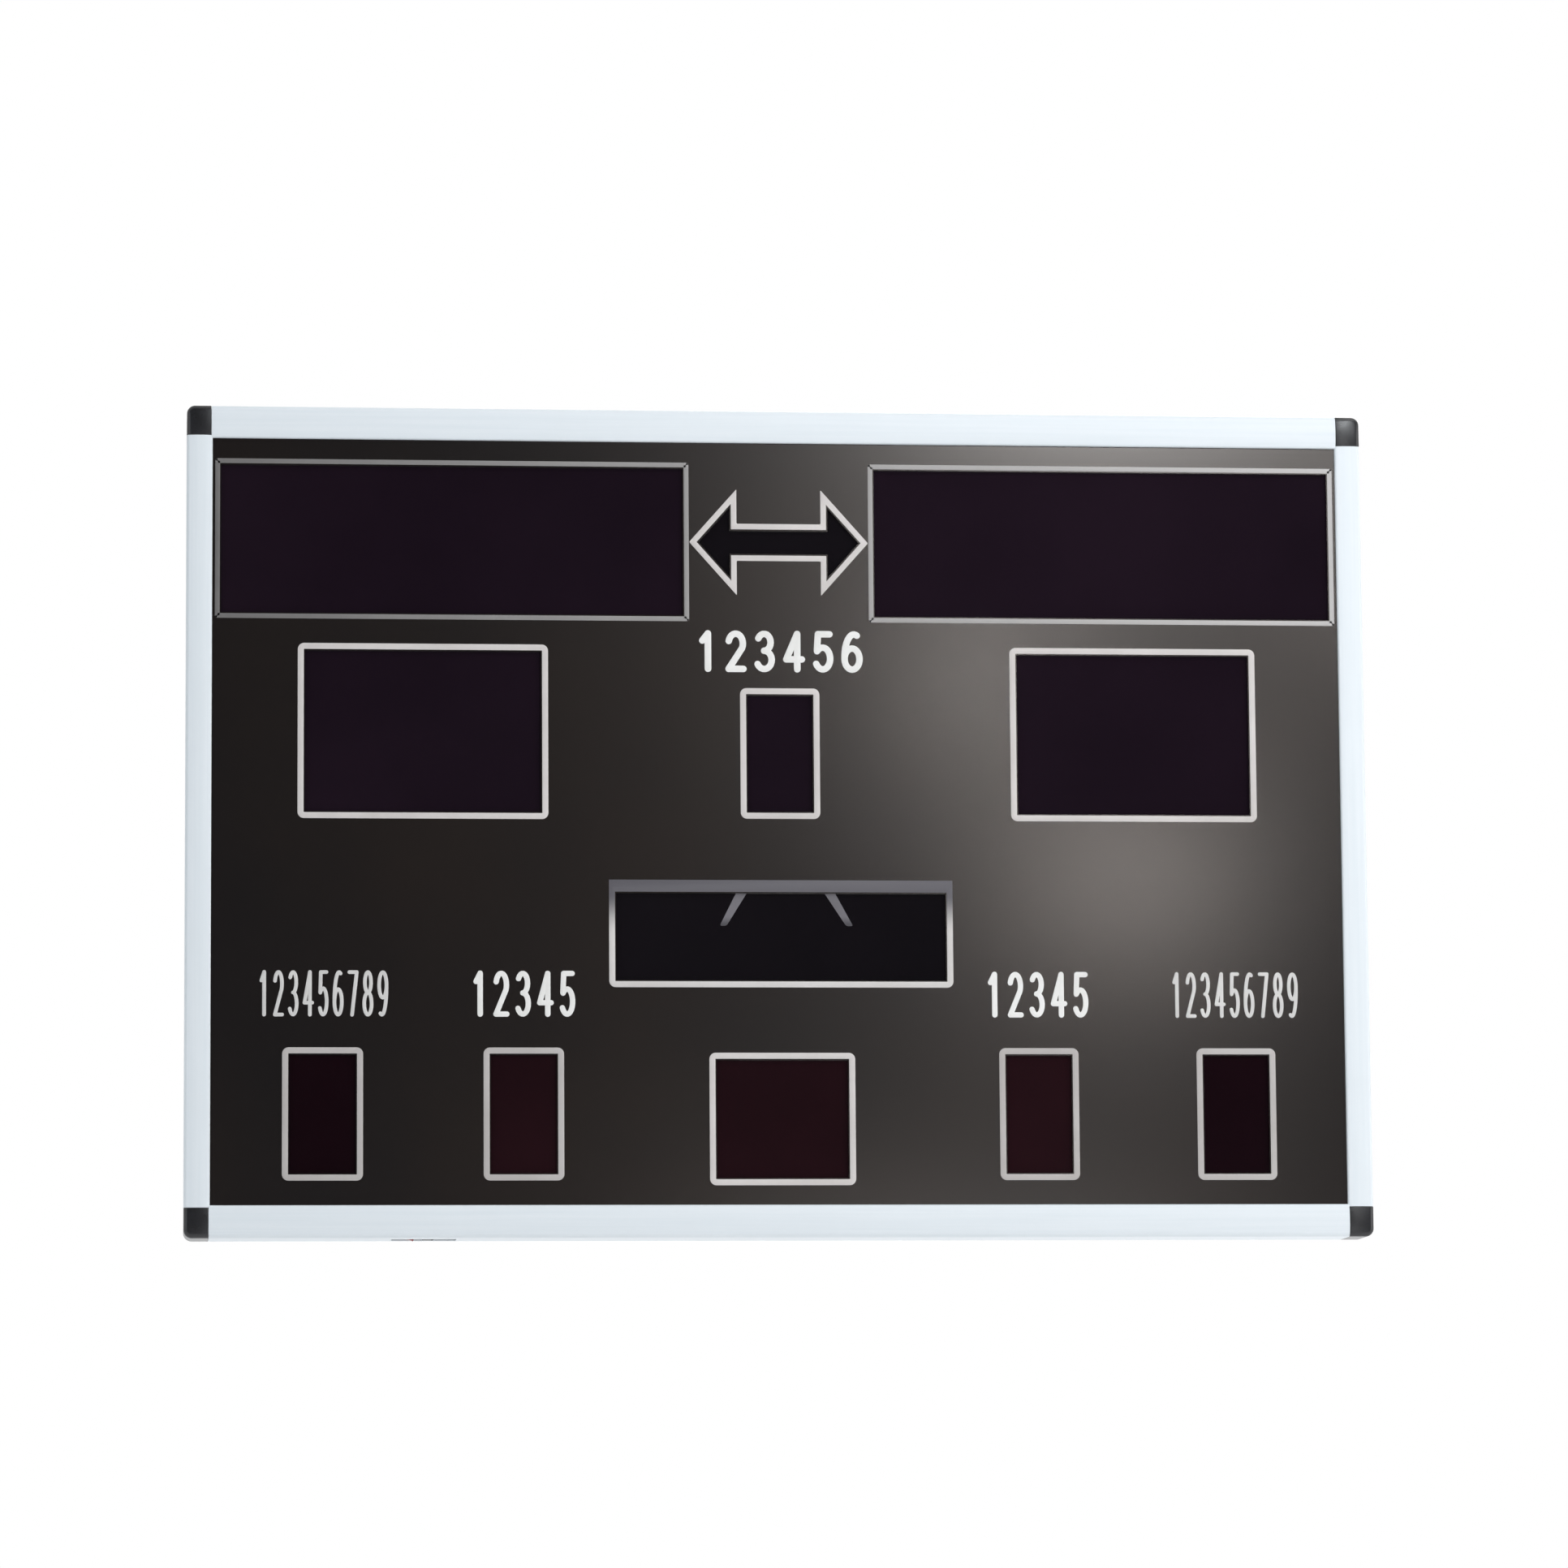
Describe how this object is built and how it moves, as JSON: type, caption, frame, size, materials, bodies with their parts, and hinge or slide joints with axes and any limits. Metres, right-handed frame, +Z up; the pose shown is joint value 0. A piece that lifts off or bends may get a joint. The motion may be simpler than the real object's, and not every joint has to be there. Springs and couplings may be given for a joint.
{
  "type": "electronic scoreboard",
  "caption": "Wall-hung electronic scoreboard: aluminium frame, black face with smoked display windows and arrow, hanging rail, mains inlet with fuse drawer and switch.",
  "frame": {"origin": "middle of the hanging rail's wall face, where the board bears on the wall rail", "axes": "+X to the viewer's right along the board, +Y out of the back towards the wall, +Z up"},
  "size_m": [1.3, 0.068, 0.9134],
  "materials": {
    "frame_aluminium": "satin anodised extrusion",
    "corner_plastic": "moulded, fine grain",
    "face_panel": "satin black print with a soft sheen",
    "outline_white": "white print",
    "smoked_pane": "smoked, glossy, nearly opaque",
    "display_black": "moulded, matt",
    "back_panel": "black powder coat",
    "rail_steel": "zinc plated",
    "rubber": "plain",
    "supply_case": "folded sheet",
    "circuit_board": "solder mask",
    "inlet_plastic": "moulded",
    "rocker_red": "moulded",
    "lead_sheath": "plain"
  },
  "bodies": {
    "case": {"back_panel": "back_panel", "bumper_left": "rubber", "bumper_right": "rubber", "controller_board": "circuit_board", "corner_bottom_left": "corner_plastic", "corner_bottom_right": "corner_plastic", "corner_top_left": "corner_plastic", "corner_top_right": "corner_plastic", "display_arrow": "display_black", "display_clock": "display_black", "display_fouls_left": "display_black", "display_fouls_right": "display_black", "display_name_left": "display_black", "display_name_right": "display_black", "display_period": "display_black", "display_score_left": "display_black", "display_score_right": "display_black", "display_shot": "display_black", "display_time_outs_left": "display_black", "display_time_outs_right": "display_black", "face_panel": "face_panel", "hanging_rail": "rail_steel", "horn": "display_black", "inlet_housing": "inlet_plastic", "mains_lead": "lead_sheath", "outline_arrow": "outline_white", "outline_clock": "outline_white", "outline_fouls_left": "outline_white", "outline_fouls_right": "outline_white", "outline_name_left": "outline_white", "outline_name_right": "outline_white", "outline_period": "outline_white", "outline_score_left": "outline_white", "outline_score_right": "outline_white", "outline_shot": "outline_white", "outline_time_outs_left": "outline_white", "outline_time_outs_right": "outline_white", "pane_arrow": "smoked_pane", "pane_clock": "smoked_pane", "pane_fouls_left": "smoked_pane", "pane_fouls_right": "smoked_pane", "pane_name_left": "smoked_pane", "pane_name_right": "smoked_pane", "pane_period": "smoked_pane", "pane_score_left": "smoked_pane", "pane_score_right": "smoked_pane", "pane_shot": "smoked_pane", "pane_time_outs_left": "smoked_pane", "pane_time_outs_right": "smoked_pane", "power_supply": "supply_case", "rail_bottom": "frame_aluminium", "rail_top": "frame_aluminium", "stile_left": "frame_aluminium", "stile_right": "frame_aluminium", "supply_lead": "lead_sheath"},
    "rocker": {"rocker": "rocker_red"},
    "fuse_drawer": {"fuse_drawer": "inlet_plastic"}
  },
  "joints": [
    {"name": "rocker_swing", "type": "hinge", "parent": "case", "child": "rocker", "pos_m": [-0.4093, -0.03, -0.7454], "axis": [0, -1, 0], "range_deg": [0, 20]},
    {"name": "fuse_drawer_slide", "type": "slide", "parent": "case", "child": "fuse_drawer", "axis": [0, 0, -1], "range_m": [0, 0.018]}
  ]
}
